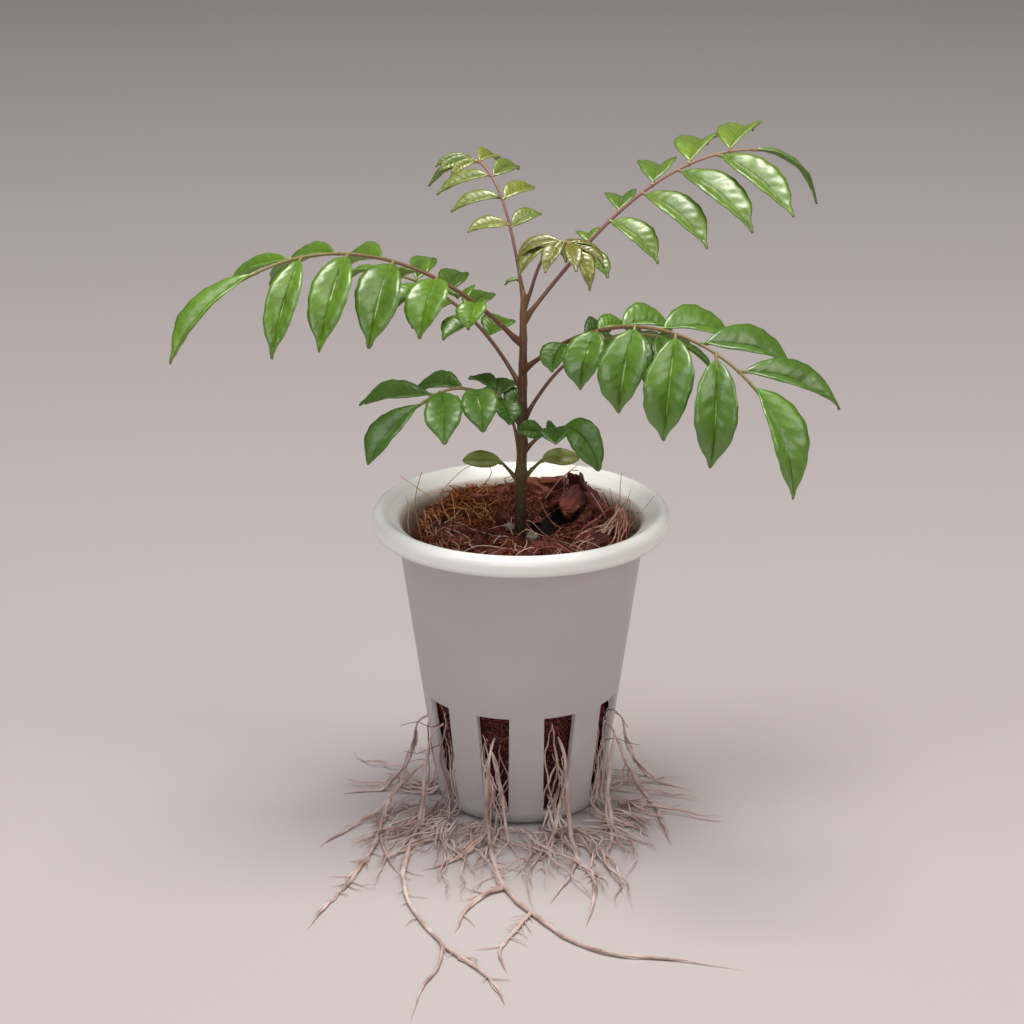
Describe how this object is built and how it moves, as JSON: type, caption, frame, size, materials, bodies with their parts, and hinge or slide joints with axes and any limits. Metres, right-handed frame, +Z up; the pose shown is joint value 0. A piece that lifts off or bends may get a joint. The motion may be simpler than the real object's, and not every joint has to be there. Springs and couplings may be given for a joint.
{
  "type": "young curry leaf plant in a net pot",
  "caption": "Young curry leaf plant with arching feather-shaped sprigs, rooted in a slotted white net pot of coir, with bare roots spreading on the surface.",
  "frame": {"origin": "centre of the pot's flat base, on the surface it stands on", "axes": "+Z up along the pot's axis, +X to the right and -Y towards the longest roots"},
  "size_m": [0.1285, 0.1417, 0.1356],
  "materials": {
    "pot": "satin translucent white polypropylene",
    "coir": "damp coir fibre, rough",
    "husk": "damp coconut husk chip, rough",
    "stem": "young bark, green brown to red brown",
    "leaf": "glossy fresh mature leaflet",
    "young_leaf": "glossy young yellow-green leaflet",
    "old_leaf": "dull seed leaf",
    "root": "pale tan bare root"
  },
  "bodies": {
    "root": {"net_pot": "pot", "coir_medium": "coir", "husk_chip_1": "husk", "husk_chip_2": "husk", "husk_chip_3": "husk", "husk_chip_4": "husk", "husk_chip_5": "husk", "husk_chip_6": "husk", "husk_chip_7": "husk", "husk_chip_8": "husk", "stem": "stem", "seed_leaf_left": "old_leaf", "seed_leaf_right": "old_leaf", "frond_low_right": "leaf", "frond_low_back": "leaf", "frond_low_left": "leaf", "frond_back_right": "leaf", "frond_back_left": "leaf", "frond_right": "leaf", "frond_left": "leaf", "frond_top_right": "young_leaf", "frond_top_back": "young_leaf", "frond_bud": "young_leaf", "roots_left": "root", "roots_front_left": "root", "roots_front_right": "root", "roots_right": "root", "roots_far_right": "root", "roots_far_left": "root", "roots_back": "root"}
  },
  "joints": []
}
